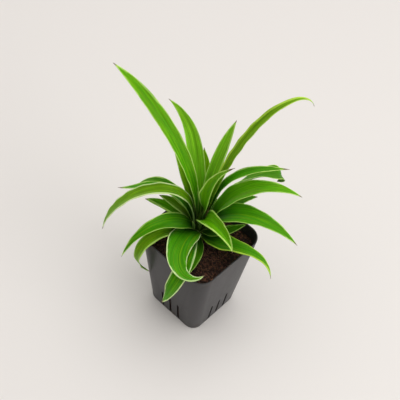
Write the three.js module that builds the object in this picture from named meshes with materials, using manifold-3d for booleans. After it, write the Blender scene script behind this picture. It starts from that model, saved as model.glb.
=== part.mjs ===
// Potted spider plant: a rosette of arching, channelled leaves on a short crown, standing in
// the soil of a square nursery pot. Millimetres, +Z up. The origin is the middle of the pot's
// underside, and the pot's faces look along X and Y. Front is towards the corner between +X
// and -Y, and left and right are as seen from there.
import * as THREE from "three";
import { mergeVertices } from "three/addons/utils/BufferGeometryUtils.js";
import Module from "manifold-3d";

const wasm = await Module();
wasm.setup();

// Driving dimensions of the pot
const POT_HEIGHT = 100;
const POT_TOP_SIDE = 80;
const POT_BOTTOM_SIDE = 60;
const POT_TOP_CORNER = 13.5;
const POT_WALL = 1.2;
const POT_FLOOR = 1.8;
const CORNER_STEPS = 6;
const ROUND_SIDES = 24;

// Drainage slots low in each face, and round holes in the floor
const SLOTS_PER_FACE = 3;
const SLOT_SPACING = 10;
const SLOT_WIDTH = 2.4;
const SLOT_BOTTOM = 2.4;
const SLOT_TOP = 28;
const FLOOR_HOLE_RADIUS = 3;
const FLOOR_HOLE_REACH = 16;

// Soil
const SOIL_LEVEL = 88;
const SOIL_SIDES = 64;
const SOIL_RINGS = 5;
const SOIL_ROUGHNESS = 0.9;
const SOIL_SWELL_LENGTHS = [7, 8];
const SOIL_LUMP_LENGTHS = [3.1, 4.3];
const SOIL_LUMP_SHARE = 0.6;

// Crown, set back from the middle of the pot
const CROWN_X = -10;
const CROWN_Y = 10;
const CROWN_BOTTOM = 79;
const CROWN_SHOULDER = 86;
const CROWN_TOP = 112;
const CROWN_RADIUS = 8;
const CROWN_TOP_RADIUS = 3;
const CROWN_TIP_RISE = 2.1;
const CROWN_TIP_FULLNESS = 0.7;

// Leaf blades
const LEAF_THICKNESS = 0.7;
const LEAF_STEP = 6;
const LEAF_TIP_WIDTH = 0.9;
const CHANNEL_ROUNDING = 1.4;
const ACROSS = [-1, -0.5, 0, 0.5, 1];

// Clearance between neighbouring pieces, and how close two corners are to count as one
const GAP = 0.3;
const SAME_POINT = 1e-4;

// Each leaf leaves the crown at a compass angle (side, counter-clockwise from +X) and a height.
// Climb, heading, twist and fold are degrees, spread evenly from base to tip: climb is the slope
// above level, heading the compass angle, twist the turn about the leaf's own line, and fold the
// rise of each half from the midrib. Widest is where along it the blade is broadest, foot the
// share of its width at the base, and taper how late it narrows to the tip.
const USUAL_LEAF = { twist: [0, 0], fold: [30, 20, 10], widest: 0.45, foot: 0.33, taper: 1.8 };
const LEAVES = [
  {
    name: "leaf_tall_left",
    side: 206, height: 110, length: 174, width: 12.5,
    climb: [86, 76, 66, 56, 47, 30],
    heading: [200, 199, 199, 200, 200, 200],
    twist: [0, -20, -30, -20], fold: [30, 15, 10], taper: 3.6,
  },
  {
    name: "leaf_tall_back",
    side: 154, height: 104, length: 117, width: 15,
    climb: [76, 71, 67, 62, 52, 24, 8],
    heading: [150, 150, 152, 154, 160, 172, 186],
    twist: [0, -4, -8, -10, -18, -46, -36], fold: [25, 18, 10], foot: 0.3, taper: 2,
  },
  {
    name: "leaf_short_back",
    side: 128, height: 100, length: 65, width: 12,
    climb: [62, 60, 58, 54],
    heading: [126, 131, 140, 148],
    taper: 2.4,
  },
  {
    name: "leaf_short_left",
    side: 181, height: 100, length: 73, width: 10,
    climb: [78, 66, 60, 56],
    heading: [183, 181, 178, 176],
    widest: 0.4,
  },
  {
    name: "leaf_tall_right",
    side: 122, height: 109, length: 102, width: 11.5,
    climb: [78, 74, 70, 65],
    heading: [112, 97, 89, 82],
    twist: [0, 10, 20, 20], fold: [25, 20, 15], widest: 0.5, foot: 0.28, taper: 2.6,
  },
  {
    name: "leaf_long_right",
    side: 66, height: 110, length: 178, width: 12,
    climb: [81, 79, 76, 72, 66, 51, 12, -74],
    heading: [56, 57, 56, 56, 58, 63, 65, 58],
    fold: [25, 25, 15], widest: 0.4, foot: 0.3,
  },
  {
    name: "leaf_folded_right",
    side: 357, height: 109, length: 84, width: 13,
    climb: [90, 93, 94, 91, 81, 74, 63, 48, 40],
    heading: [0, 26, 32, 32, 32],
    twist: [0, 50, 70, 66, 64], fold: [20, 30, 25], widest: 0.38, taper: 1.3,
  },
  {
    name: "leaf_narrow_right",
    side: 40, height: 105, length: 112, width: 9.5,
    climb: [81, 80, 74, 42, 6, -6],
    heading: [44, 45, 47, 48],
    fold: [30, 25, 15], widest: 0.6, foot: 0.28,
  },
  {
    name: "leaf_drooping_right",
    side: 82, height: 96, length: 98.5, width: 20,
    climb: [62, 56, 45, 23, 7, -4, -150],
    heading: [78, 75, 71, 64, 58, 53],
    twist: [0, -42, -55, -58, -38, -5, 0], fold: [25, 18, 10], widest: 0.7, foot: 0.2, taper: 3,
  },
  {
    name: "leaf_arched_right",
    side: 22, height: 101, length: 114, width: 23,
    climb: [70, 70, 58, 36, -5, -35],
    heading: [34, 36, 38, 38],
    fold: [25, 18, 8], widest: 0.42, foot: 0.19, taper: 1.25,
  },
  {
    name: "leaf_small_right",
    side: 42, height: 95, length: 62, width: 14,
    climb: [68, 60, 46, 20],
    heading: [46, 46, 44, 40],
    widest: 0.5, foot: 0.28, taper: 2.4,
  },
  {
    name: "leaf_broad_right",
    side: 13, height: 97, length: 108, width: 23.5,
    climb: [72, 60, 34, 2, -27, -46],
    heading: [14, 17, 20, 22, 23, 24],
    fold: [25, 14, 8], widest: 0.42, foot: 0.22, taper: 1.1,
  },
  {
    name: "leaf_folded_front",
    side: 317, height: 103.8, length: 63.5, width: 19,
    climb: [78, 65, 35, -9, -38, -58],
    heading: [331, 345, 353, 355, 352],
    twist: [0, 8, 28, 22, 10], fold: [25, 38, 42], widest: 0.4, foot: 0.18, taper: 1.25,
  },
  {
    name: "leaf_low_right",
    side: 334, height: 90, length: 95, width: 19,
    climb: [30, 35, 23, -14, -54, -82],
    heading: [344, 356, 376, 388, 382, 368],
    fold: [30, 16, 10], widest: 0.36, foot: 0.3, taper: 0.75,
  },
  {
    name: "leaf_low_back_right",
    side: 341, height: 94.3, length: 50, width: 13,
    climb: [33, 41, 43, 38],
    heading: [358, 376, 396, 408],
    widest: 0.35, foot: 0.4,
  },
  {
    name: "leaf_long_left",
    side: 226, height: 101, length: 148, width: 13.5,
    climb: [90, 64, -16, -48, -64, -82],
    heading: [219, 218, 218, 219, 220, 221],
    widest: 0.5, taper: 4,
  },
  {
    name: "leaf_flat_left",
    side: 212, height: 98, length: 98.5, width: 10,
    climb: [72, 66, 22, -25, -40, -26],
    heading: [206, 202, 202, 202],
    foot: 0.3,
  },
  {
    name: "leaf_humped_left",
    side: 178, height: 97.5, length: 80, width: 13.5,
    climb: [58, 49, 31, -10, -44, -60],
    heading: [197, 195, 194, 197],
    widest: 0.5, foot: 0.3, taper: 2,
  },
  {
    name: "leaf_small_left",
    side: 214, height: 88.5, length: 53, width: 11,
    climb: [62, 44, 10, -10],
    heading: [207, 206, 205, 205],
    fold: [20, 14, 8], widest: 0.5, taper: 2.4,
  },
  {
    name: "leaf_broad_left",
    side: 247, height: 95.5, length: 88, width: 19,
    climb: [60, 12, -40, -70],
    heading: [240, 246, 249, 247],
    fold: [20, 12, 30, 40, 20], widest: 0.25, foot: 0.35, taper: 1.2,
  },
  {
    name: "leaf_hooked_left",
    side: 256, height: 92, length: 108, width: 13,
    climb: [34, 25, 2, -50, -98, -118, -118],
    heading: [248, 252, 256, 258, 258],
    widest: 0.38, foot: 0.3, taper: 1.5,
  },
  {
    name: "leaf_broad_front",
    side: 272, height: 94, length: 84, width: 28,
    climb: [46, 30, 14, -2, -12, 2, 30],
    heading: [284, 286, 291, 302, 332, 382, 440],
    twist: [0, 14, 10, 4, 0], fold: [14, 14, 12], widest: 0.3, foot: 0.25, taper: 1.1,
  },
  {
    name: "leaf_tucked_front",
    side: 304, height: 88.5, length: 45, width: 12,
    climb: [22, 8, -6, -10],
    heading: [318, 307, 294, 290],
  },
  {
    name: "leaf_hanging_front",
    side: 284, height: 92, length: 94, width: 15,
    climb: [38, 25, 4, -36, -70, -68],
    heading: [302, 303, 300, 284, 252, 214],
    widest: 0.6, foot: 0.28, taper: 2.8,
  },
  {
    name: "leaf_tiny_left",
    side: 197, height: 93, length: 42, width: 10.5,
    climb: [60, 46, 24, 6],
    heading: [200, 201, 202, 203],
    fold: [26, 22, 16], widest: 0.5, foot: 0.22, taper: 2.4,
  },
];

const POT_FINISH = new THREE.MeshStandardMaterial({ color: 0x4a484a, roughness: 0.42, metalness: 0 });
const SOIL_FINISH = new THREE.MeshStandardMaterial({ color: 0x3a2218, roughness: 0.95, metalness: 0 });
const CROWN_FINISH = new THREE.MeshStandardMaterial({ color: 0x9db56a, roughness: 0.55, metalness: 0 });
const LEAF_FINISH = new THREE.MeshStandardMaterial({ color: 0x4c9a18, roughness: 0.42, metalness: 0 });

// The value of an evenly spread list at a share of the way along it
function spread(values, share) {
  const place = share * (values.length - 1);
  const step = Math.min(Math.floor(place), values.length - 2);
  return THREE.MathUtils.lerp(values[step], values[step + 1], place - step);
}

// A closed geometry as a manifold solid, and back
function solidOf(geometry) {
  const bare = geometry.clone();
  bare.deleteAttribute("normal");
  bare.deleteAttribute("uv");
  const merged = mergeVertices(bare, SAME_POINT);
  return new wasm.Manifold(
    new wasm.Mesh({
      numProp: 3,
      vertProperties: merged.attributes.position.array,
      triVerts: new Uint32Array(merged.index.array),
    }),
  );
}

function geometryOf(solid) {
  const mesh = solid.getMesh();
  const geometry = new THREE.BufferGeometry();
  geometry.setAttribute("position", new THREE.BufferAttribute(mesh.vertProperties, 3));
  geometry.setIndex(new THREE.BufferAttribute(mesh.triVerts, 1));
  geometry.computeVertexNormals();
  return geometry;
}

// A geometry from a list of points and a list of triangles
function geometryFrom(points, triangles) {
  const geometry = new THREE.BufferGeometry().setFromPoints(points);
  geometry.setIndex(triangles);
  geometry.computeVertexNormals();
  return geometry;
}

function piece(name, geometry, material) {
  const mesh = new THREE.Mesh(geometry, material);
  mesh.name = name;
  return mesh;
}

// Pot
function potSideAt(height) {
  return THREE.MathUtils.lerp(POT_BOTTOM_SIDE, POT_TOP_SIDE, height / POT_HEIGHT);
}

function roundedSquare(side, corner) {
  const reach = side / 2 - corner;
  const outline = new THREE.Shape();
  outline.absarc(reach, reach, corner, 0, Math.PI / 2);
  outline.absarc(-reach, reach, corner, Math.PI / 2, Math.PI);
  outline.absarc(-reach, -reach, corner, Math.PI, 1.5 * Math.PI);
  outline.absarc(reach, -reach, corner, 1.5 * Math.PI, 2 * Math.PI);
  outline.closePath();
  return outline;
}

// How much the pot's outline, drawn in by an inset, shrinks from the rim to a height
function narrowing(inset, height) {
  return (potSideAt(height) - 2 * inset) / (POT_TOP_SIDE - 2 * inset);
}

// A block between two heights that follows the pot's walls at an inset
function taperedBlock(inset, low, high) {
  const outline = roundedSquare(POT_TOP_SIDE - 2 * inset, POT_TOP_CORNER - inset);
  const block = new THREE.ExtrudeGeometry(outline, {
    depth: high - low,
    bevelEnabled: false,
    curveSegments: CORNER_STEPS,
  });
  block.translate(0, 0, low);
  const place = block.getAttribute("position");
  for (let i = 0; i < place.count; i += 1) {
    const scale = narrowing(inset, place.getZ(i));
    place.setXY(i, place.getX(i) * scale, place.getY(i) * scale);
  }
  return block;
}

// A round-ended upright slot that cuts through one wall, turned to its face
function slotCutter(offset, turn) {
  const radius = SLOT_WIDTH / 2;
  const reach = 4 * POT_WALL;
  const outline = new THREE.Shape();
  outline.absarc(offset, SLOT_TOP - radius, radius, 0, Math.PI);
  outline.absarc(offset, SLOT_BOTTOM + radius, radius, Math.PI, 2 * Math.PI);
  outline.closePath();
  const cutter = new THREE.ExtrudeGeometry(outline, {
    depth: 2 * reach,
    bevelEnabled: false,
    curveSegments: CORNER_STEPS,
  });
  cutter.rotateX(Math.PI / 2);
  cutter.translate(0, reach - potSideAt((SLOT_BOTTOM + SLOT_TOP) / 2) / 2, 0);
  cutter.rotateZ(turn);
  return cutter;
}

function floorHoleCutter(turn) {
  const depth = 4 * POT_FLOOR;
  const cutter = new THREE.CylinderGeometry(FLOOR_HOLE_RADIUS, FLOOR_HOLE_RADIUS, depth, ROUND_SIDES);
  cutter.rotateX(Math.PI / 2);
  cutter.translate(FLOOR_HOLE_REACH, FLOOR_HOLE_REACH, 0);
  cutter.rotateZ(turn);
  return cutter;
}

function makePot() {
  let pot = solidOf(taperedBlock(0, 0, POT_HEIGHT));
  pot = pot.subtract(solidOf(taperedBlock(POT_WALL, POT_FLOOR, POT_HEIGHT + POT_WALL)));
  for (let face = 0; face < 4; face += 1) {
    const turn = (face * Math.PI) / 2;
    pot = pot.subtract(solidOf(floorHoleCutter(turn)));
    for (let slot = 0; slot < SLOTS_PER_FACE; slot += 1) {
      const offset = (slot - (SLOTS_PER_FACE - 1) / 2) * SLOT_SPACING;
      pot = pot.subtract(solidOf(slotCutter(offset, turn)));
    }
  }
  return piece("pot", geometryOf(pot), POT_FINISH);
}

// Soil: the inside of the pot up to its level, with an uneven top and a plain hole for the crown
function soilHeight(x, y) {
  const swell = Math.sin(x / SOIL_SWELL_LENGTHS[0] + 1) * Math.cos(y / SOIL_SWELL_LENGTHS[1]);
  const lumps = Math.sin(x / SOIL_LUMP_LENGTHS[0] - y / SOIL_LUMP_LENGTHS[1]);
  return SOIL_LEVEL + SOIL_ROUGHNESS * (swell + SOIL_LUMP_SHARE * lumps);
}

function ringAt(outline, centre, share, height) {
  return outline.map(([edge, hole]) => {
    const point = new THREE.Vector3().lerpVectors(edge, hole, share).add(centre);
    point.z = height === undefined ? soilHeight(point.x, point.y) : height;
    return point;
  });
}

// Rows of equally many points, skinned from the first to the last, with both ends closed
function skinOf(rings) {
  const count = rings[0].length;
  const points = rings.flat();
  const triangles = [];
  for (let row = 0; row + 1 < rings.length; row += 1) {
    for (let i = 0; i < count; i += 1) {
      const next = (i + 1) % count;
      const [a, b] = [row * count + i, row * count + next];
      triangles.push(a, b, b + count, a, b + count, a + count);
    }
  }
  [rings[0], rings.at(-1)].forEach((ring, end) => {
    const first = end * (rings.length - 1) * count;
    const middle = points.length;
    points.push(ring.reduce((sum, p) => sum.add(p), new THREE.Vector3()).divideScalar(count));
    for (let i = 0; i < count; i += 1) {
      const [a, b] = [first + i, first + ((i + 1) % count)];
      triangles.push(middle, end ? a : b, end ? b : a);
    }
  });
  return geometryFrom(points, triangles);
}

function makeSoil() {
  const inset = POT_WALL + GAP;
  const low = POT_FLOOR + GAP;
  const shape = roundedSquare(POT_TOP_SIDE - 2 * inset, POT_TOP_CORNER - inset);
  const rim = shape.getSpacedPoints(SOIL_SIDES).slice(0, SOIL_SIDES);
  const crown = new THREE.Vector3(CROWN_X, CROWN_Y, 0);
  const wallRing = (height) =>
    rim.map((p) => {
      const level = height === undefined ? soilHeight(p.x, p.y) : height;
      const scale = narrowing(inset, level);
      return new THREE.Vector3(p.x * scale, p.y * scale, level);
    });
  const top = wallRing();
  const outline = top.map((edge) => {
    const arm = new THREE.Vector3(edge.x, edge.y, 0).sub(crown);
    return [arm, arm.clone().setLength(CROWN_RADIUS + GAP)];
  });
  const rings = [wallRing(low), top];
  for (let ring = 1; ring <= SOIL_RINGS; ring += 1) {
    rings.push(ringAt(outline, crown, ring / SOIL_RINGS));
  }
  rings.push(ringAt(outline, crown, 1, CROWN_BOTTOM - GAP));
  return piece("soil", skinOf(rings), SOIL_FINISH);
}

// Crown: the short tapered heart that the leaves grow from
function crownRadiusAt(height) {
  const share = THREE.MathUtils.clamp((height - CROWN_SHOULDER) / (CROWN_TOP - CROWN_SHOULDER), 0, 1);
  return THREE.MathUtils.lerp(CROWN_RADIUS, CROWN_TOP_RADIUS, share);
}

function makeCrown() {
  const profile = [
    [0, CROWN_BOTTOM],
    [CROWN_RADIUS, CROWN_BOTTOM],
    [CROWN_RADIUS, CROWN_SHOULDER],
    [CROWN_TOP_RADIUS, CROWN_TOP],
    [CROWN_TOP_RADIUS / 2, CROWN_TOP + CROWN_TIP_FULLNESS * CROWN_TIP_RISE],
    [0, CROWN_TOP + CROWN_TIP_RISE],
  ].map(([radius, height]) => new THREE.Vector2(radius, height));
  const heart = new THREE.LatheGeometry(profile, ROUND_SIDES);
  heart.rotateX(Math.PI / 2);
  const mesh = piece("crown", geometryOf(solidOf(heart)), CROWN_FINISH);
  mesh.position.set(CROWN_X, CROWN_Y, 0);
  return mesh;
}

// Leaves
function bladeWidth(leaf, share) {
  let fullness = 1 - ((share - leaf.widest) / (1 - leaf.widest)) ** leaf.taper;
  if (share < leaf.widest) {
    fullness = leaf.foot + (1 - leaf.foot) * Math.sin((Math.PI / 2) * (share / leaf.widest));
  }
  return Math.max(LEAF_TIP_WIDTH, leaf.width * fullness);
}

// The directions along, across and up from the blade at a share of its length
function bladeAxes(leaf, share) {
  const climb = THREE.MathUtils.degToRad(spread(leaf.climb, share));
  const heading = THREE.MathUtils.degToRad(spread(leaf.heading, share));
  const twist = THREE.MathUtils.degToRad(spread(leaf.twist, share));
  const along = new THREE.Vector3(Math.cos(heading), Math.sin(heading), 0).multiplyScalar(Math.cos(climb));
  along.z = Math.sin(climb);
  const across = new THREE.Vector3(-Math.sin(heading), Math.cos(heading), 0).applyAxisAngle(along, twist);
  return { along, across, up: new THREE.Vector3().crossVectors(along, across) };
}

// The points across the blade, on its upper or its lower face
function bladeRow(leaf, share, middle, face) {
  const { across, up } = bladeAxes(leaf, share);
  const fold = THREE.MathUtils.degToRad(spread(leaf.fold, share));
  const half = bladeWidth(leaf, share) / 2;
  return ACROSS.map((side) => {
    const reach = side * half * Math.cos(fold);
    const rise = Math.abs(side) ** CHANNEL_ROUNDING * half * Math.sin(fold);
    const slope = CHANNEL_ROUNDING * Math.sign(side) * Math.abs(side) ** (CHANNEL_ROUNDING - 1);
    const normal = new THREE.Vector2(-slope * Math.sin(fold), Math.cos(fold)).normalize();
    return middle
      .clone()
      .addScaledVector(across, reach + (face * normal.x * LEAF_THICKNESS) / 2)
      .addScaledVector(up, rise + (face * normal.y * LEAF_THICKNESS) / 2);
  });
}

// How far from the crown's axis a leaf starts, so that its folded sides clear the crown
function startingReach(leaf) {
  const half = (leaf.width * leaf.foot) / 2;
  const fold = THREE.MathUtils.degToRad(leaf.fold[0]);
  const radius = crownRadiusAt(leaf.height);
  const rise = half * Math.sin(fold) * Math.sin(THREE.MathUtils.degToRad(leaf.climb[0]));
  const curve = radius - Math.sqrt(Math.max(0, radius ** 2 - (half * Math.cos(fold)) ** 2));
  return radius + GAP + LEAF_THICKNESS / 2 + Math.max(0, rise - curve);
}

// The midrib, stepped along its own direction from the crown's side
function midrib(leaf, steps) {
  const side = THREE.MathUtils.degToRad(leaf.side);
  const reach = startingReach(leaf);
  const point = new THREE.Vector3(Math.cos(side) * reach, Math.sin(side) * reach, leaf.height);
  point.add(new THREE.Vector3(CROWN_X, CROWN_Y, 0));
  const line = [point.clone()];
  for (let step = 0; step < steps; step += 1) {
    const { along } = bladeAxes(leaf, (step + 0.5) / steps);
    line.push(point.addScaledVector(along, leaf.length / steps).clone());
  }
  return line;
}

// A blade: an upper and a lower face split alike into triangles, joined round the edge
function bladeGeometry(leaf) {
  const steps = Math.round(leaf.length / LEAF_STEP);
  const line = midrib(leaf, steps);
  const columns = ACROSS.length;
  const upper = line.map((middle, step) => bladeRow(leaf, step / steps, middle, 1));
  const lower = line.map((middle, step) => bladeRow(leaf, step / steps, middle, -1));
  const points = [...upper.flat(), ...lower.flat()];
  const under = upper.length * columns;
  const triangles = [];
  const strip = (a, b) => triangles.push(a, b, b + under, a, b + under, a + under);
  for (let step = 0; step < steps; step += 1) {
    for (let i = 0; i + 1 < columns; i += 1) {
      const a = step * columns + i;
      const d = a + columns;
      triangles.push(a, d, d + 1, a, d + 1, a + 1);
      triangles.push(a + under, d + 1 + under, d + under, a + under, a + 1 + under, d + 1 + under);
    }
    strip(step * columns + columns, step * columns);
    strip(step * columns + columns - 1, step * columns + 2 * columns - 1);
  }
  for (let i = 0; i + 1 < columns; i += 1) {
    strip(i, i + 1);
    strip(steps * columns + i + 1, steps * columns + i);
  }
  return geometryFrom(points, triangles);
}

function makeLeaves() {
  const rosette = new THREE.Group();
  LEAVES.forEach((entry) => {
    const leaf = { ...USUAL_LEAF, ...entry };
    rosette.add(piece(leaf.name, bladeGeometry(leaf), LEAF_FINISH.clone()));
  });
  return rosette;
}

const plant = new THREE.Group();
plant.add(makeCrown(), makeLeaves());

const pottedPlant = new THREE.Group();
pottedPlant.add(makePot(), makeSoil(), plant);

export default pottedPlant;
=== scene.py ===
"""Potted spider plant: the finished look of a young rosette in a square nursery pot.

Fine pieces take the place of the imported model's, with finishes, a floor, light and the camera.
Sizes in the classes are millimetres and degrees, meshes are in metres, and a pattern's scale is
in grains a metre. A leaf's left and right are as seen from its foot, looking at its tip from above.
"""

import logging
import math
import random
from collections.abc import Callable, Sequence
from dataclasses import dataclass, field
from enum import Enum
from functools import cache

import bmesh
import bpy
import numpy as np
from mathutils import Matrix, Vector, noise


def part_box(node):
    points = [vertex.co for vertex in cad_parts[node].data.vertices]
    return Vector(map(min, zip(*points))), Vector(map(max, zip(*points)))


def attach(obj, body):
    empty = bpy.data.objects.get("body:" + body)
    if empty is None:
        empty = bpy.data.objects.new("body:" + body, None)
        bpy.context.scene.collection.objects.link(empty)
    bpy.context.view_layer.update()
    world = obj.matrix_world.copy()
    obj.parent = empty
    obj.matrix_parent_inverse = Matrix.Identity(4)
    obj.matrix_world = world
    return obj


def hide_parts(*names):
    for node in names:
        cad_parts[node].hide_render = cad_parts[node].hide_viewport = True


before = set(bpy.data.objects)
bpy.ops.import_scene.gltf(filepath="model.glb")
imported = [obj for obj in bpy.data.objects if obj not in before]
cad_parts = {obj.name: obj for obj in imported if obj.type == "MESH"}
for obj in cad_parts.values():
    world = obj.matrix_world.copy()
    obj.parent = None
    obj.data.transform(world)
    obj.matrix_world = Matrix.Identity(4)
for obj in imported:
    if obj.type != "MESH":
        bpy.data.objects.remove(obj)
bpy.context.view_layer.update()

MM = 0.001
BODY = "root"

Piece = bpy.types.Object
Material = bpy.types.Material
Tree = bpy.types.NodeTree
Socket = bpy.types.NodeSocket
Sockets = bpy.types.NodeOutputs
Colour = tuple[float, float, float, float]
Place = tuple[float, float, float]
Span = tuple[float, float]
Numbers = Sequence[float]
Line = np.ndarray

log = logging.getLogger("potted_spider_plant")


class Element(Enum):
    """What a rule picks in edit mode."""

    VERT = "verts"
    EDGE = "edges"
    FACE = "faces"


class Margin(Enum):
    """Width of the cream band along one side of a blade."""

    HAIRLINE = 0.35
    NARROW = 0.6
    USUAL = 0.95
    WIDE = 1.5
    BROAD = 2.2


class Cream(Enum):
    """Colour of a blade's margins."""

    YELLOW_GREEN = (0.46, 0.68, 0.07, 1)
    PALE_YELLOW = (0.5, 0.74, 0.16, 1)
    NEAR_WHITE = (0.68, 0.84, 0.38, 1)


class Tone(Enum):
    """Green of a blade: its deep colour near the foot and its bright one towards the tip."""

    BRIGHT = ((0.09, 0.33, 0.006, 1), (0.21, 0.54, 0.016, 1))
    FRESH = ((0.042, 0.25, 0.002, 1), (0.118, 0.38, 0.002, 1))
    FULL = ((0.024, 0.185, 0.003, 1), (0.07, 0.305, 0.002, 1))
    OLIVE = ((0.06, 0.21, 0.003, 1), (0.17, 0.37, 0.004, 1))
    SHADED = ((0.022, 0.13, 0.004, 1), (0.06, 0.24, 0.003, 1))
    # painted shade: the green of the crown's heart, darkened for the shade deep in the crown
    HEART = ((0.04, 0.12, 0.012, 1), (0.1, 0.26, 0.012, 1))


@dataclass(frozen=True)
class Blade:
    """One leaf's route, outline and colouring.

    Lists are spread evenly from foot to tip: climb is the slope above level, heading the compass
    angle counter-clockwise from +X, twist the turn about the leaf's own line, and fold the rise
    of each half from the midrib.
    """

    name: str
    side: float
    height: float
    length: float
    width: float
    climb: Numbers
    heading: Numbers
    twist: Numbers = (0, 0)
    fold: Numbers = (30, 20, 10)
    widest: float = 0.45
    foot: float = 0.33
    taper: float = 1.8
    left: Margin = Margin.NARROW
    right: Margin = Margin.NARROW
    cream: Cream = Cream.PALE_YELLOW
    tone: Tone = Tone.FULL
    dry: float = 3.0


BLADES = (
    Blade("tall_left", 206, 110, 174, 12.5, (86, 76, 66, 56, 47, 30), (200, 199, 199, 200, 200, 200),
        twist=(0, -20, -30, -20), fold=(30, 15, 10), taper=3.6, right=Margin.USUAL, tone=Tone.FRESH, dry=4),
    Blade("tall_back", 154, 104, 117, 15, (76, 71, 67, 62, 52, 24, 8), (150, 150, 152, 154, 160, 172, 186),
        twist=(0, -4, -8, -10, -18, -46, -36), fold=(25, 18, 10), foot=0.3, taper=2, tone=Tone.BRIGHT),
    Blade("short_back", 128, 100, 65, 12, (62, 60, 58, 54), (126, 131, 140, 148), taper=2.4,
        left=Margin.HAIRLINE, right=Margin.HAIRLINE, tone=Tone.OLIVE),
    Blade("short_left", 181, 100, 73, 10, (78, 66, 60, 56), (183, 181, 178, 176), widest=0.4,
        tone=Tone.OLIVE),
    Blade("tall_right", 122, 109, 102, 11.5, (78, 74, 70, 65), (112, 97, 89, 82), twist=(0, 10, 20, 20),
        fold=(25, 20, 15), widest=0.5, foot=0.28, taper=2.6, right=Margin.USUAL, tone=Tone.BRIGHT),
    Blade("long_right", 66, 110, 178, 12, (81, 79, 76, 72, 66, 51, 12, -74),
        (56, 57, 56, 56, 58, 63, 65, 58), fold=(25, 25, 15), widest=0.4, foot=0.3, left=Margin.WIDE,
        cream=Cream.YELLOW_GREEN, tone=Tone.OLIVE, dry=5),
    Blade("folded_right", 357, 109, 84, 13, (90, 93, 94, 91, 81, 74, 63, 48, 40), (0, 26, 32, 32, 32),
        twist=(0, 50, 70, 66, 64), fold=(20, 30, 25), widest=0.38, taper=1.3, left=Margin.USUAL,
        tone=Tone.FRESH, dry=10),
    Blade("narrow_right", 40, 105, 112, 9.5, (81, 80, 74, 42, 6, -6), (44, 45, 47, 48), fold=(30, 25, 15),
        widest=0.6, foot=0.28, dry=8),
    Blade("drooping_right", 82, 96, 98.5, 20, (62, 56, 45, 23, 7, -4, -150), (78, 75, 71, 64, 58, 53),
        twist=(0, -42, -55, -58, -38, -5, 0), fold=(25, 18, 10), widest=0.7, foot=0.2, taper=3,
        tone=Tone.SHADED),
    Blade("arched_right", 22, 101, 114, 23, (70, 70, 58, 36, -5, -35), (34, 36, 38, 38), fold=(25, 18, 8),
        widest=0.42, foot=0.19, taper=1.25, tone=Tone.FRESH, dry=5),
    Blade("small_right", 42, 95, 62, 14, (68, 60, 46, 20), (46, 46, 44, 40), widest=0.5, foot=0.28,
        taper=2.4, tone=Tone.SHADED),
    Blade("broad_right", 13, 97, 108, 23.5, (72, 60, 34, 2, -27, -46), (14, 17, 20, 22, 23, 24),
        fold=(25, 14, 8), widest=0.42, foot=0.22, taper=1.1, dry=6),
    Blade("folded_front", 317, 103.8, 63.5, 19, (78, 65, 35, -9, -38, -58), (331, 345, 353, 355, 352),
        twist=(0, 8, 28, 22, 10), fold=(25, 38, 42), widest=0.4, foot=0.18, taper=1.25, left=Margin.USUAL,
        right=Margin.WIDE, tone=Tone.FRESH),
    Blade("low_right", 334, 90, 95, 19, (30, 35, 23, -14, -54, -82), (344, 356, 376, 388, 382, 368),
        fold=(30, 16, 10), widest=0.36, foot=0.3, taper=0.75, right=Margin.WIDE, cream=Cream.YELLOW_GREEN,
        dry=7),
    Blade("low_back_right", 341, 94.3, 50, 13, (33, 41, 43, 38), (358, 376, 396, 408), widest=0.35,
        foot=0.4, tone=Tone.SHADED),
    Blade("long_left", 226, 101, 148, 13.5, (90, 64, -16, -48, -64, -82), (219, 218, 218, 219, 220, 221),
        widest=0.5, taper=4, left=Margin.BROAD, cream=Cream.NEAR_WHITE, tone=Tone.OLIVE, dry=7),
    Blade("flat_left", 212, 98, 98.5, 10, (72, 66, 22, -25, -40, -26), (206, 202, 202, 202), foot=0.3,
        dry=8),
    Blade("humped_left", 178, 97.5, 80, 13.5, (58, 49, 31, -10, -44, -60), (197, 195, 194, 197), widest=0.5,
        foot=0.3, taper=2, tone=Tone.SHADED),
    Blade("small_left", 214, 88.5, 53, 11, (62, 44, 10, -10), (207, 206, 205, 205), fold=(20, 14, 8),
        widest=0.5, taper=2.4, left=Margin.BROAD, tone=Tone.FRESH),
    Blade("broad_left", 247, 95.5, 88, 19, (60, 12, -40, -70), (240, 246, 249, 247),
        fold=(20, 12, 30, 40, 20), widest=0.25, foot=0.35, taper=1.2),
    Blade("hooked_left", 256, 92, 108, 13, (34, 25, 2, -50, -98, -118, -118), (248, 252, 256, 258, 258),
        widest=0.38, foot=0.3, taper=1.5, left=Margin.WIDE, tone=Tone.OLIVE, dry=8),
    Blade("broad_front", 272, 94, 84, 28, (46, 30, 14, -2, -12, 2, 30), (284, 286, 291, 302, 332, 382, 440),
        twist=(0, 14, 10, 4, 0), fold=(14, 14, 12), widest=0.3, foot=0.25, taper=1.1, right=Margin.USUAL,
        cream=Cream.NEAR_WHITE),
    Blade("tucked_front", 304, 88.5, 45, 12, (22, 8, -6, -10), (318, 307, 294, 290)),
    Blade("hanging_front", 284, 92, 94, 15, (38, 25, 4, -36, -70, -68), (302, 303, 300, 284, 252, 214),
        widest=0.6, foot=0.28, taper=2.8, left=Margin.USUAL, right=Margin.USUAL, cream=Cream.NEAR_WHITE,
        dry=6),
    Blade("tiny_left", 197, 93, 42, 10.5, (60, 46, 24, 6), (200, 201, 202, 203), fold=(26, 22, 16),
        widest=0.5, foot=0.22, taper=2.4, left=Margin.WIDE, tone=Tone.OLIVE),
)

FURLED_BLADES = tuple(
    Blade(f"furled_{letter}", side, height, length, width, climb, (side, side), fold=(62, 66, 50),
          foot=0.8, tone=Tone.HEART)
    for letter, side, height, length, width, climb in (
        ("a", 20, 97, 16.5, 6, (89, 88, 86)),
        ("b", 150, 96, 15, 5.5, (88, 87, 84)),
        ("c", 262, 95, 14, 5.5, (88, 87, 82)),
    )
)


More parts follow.
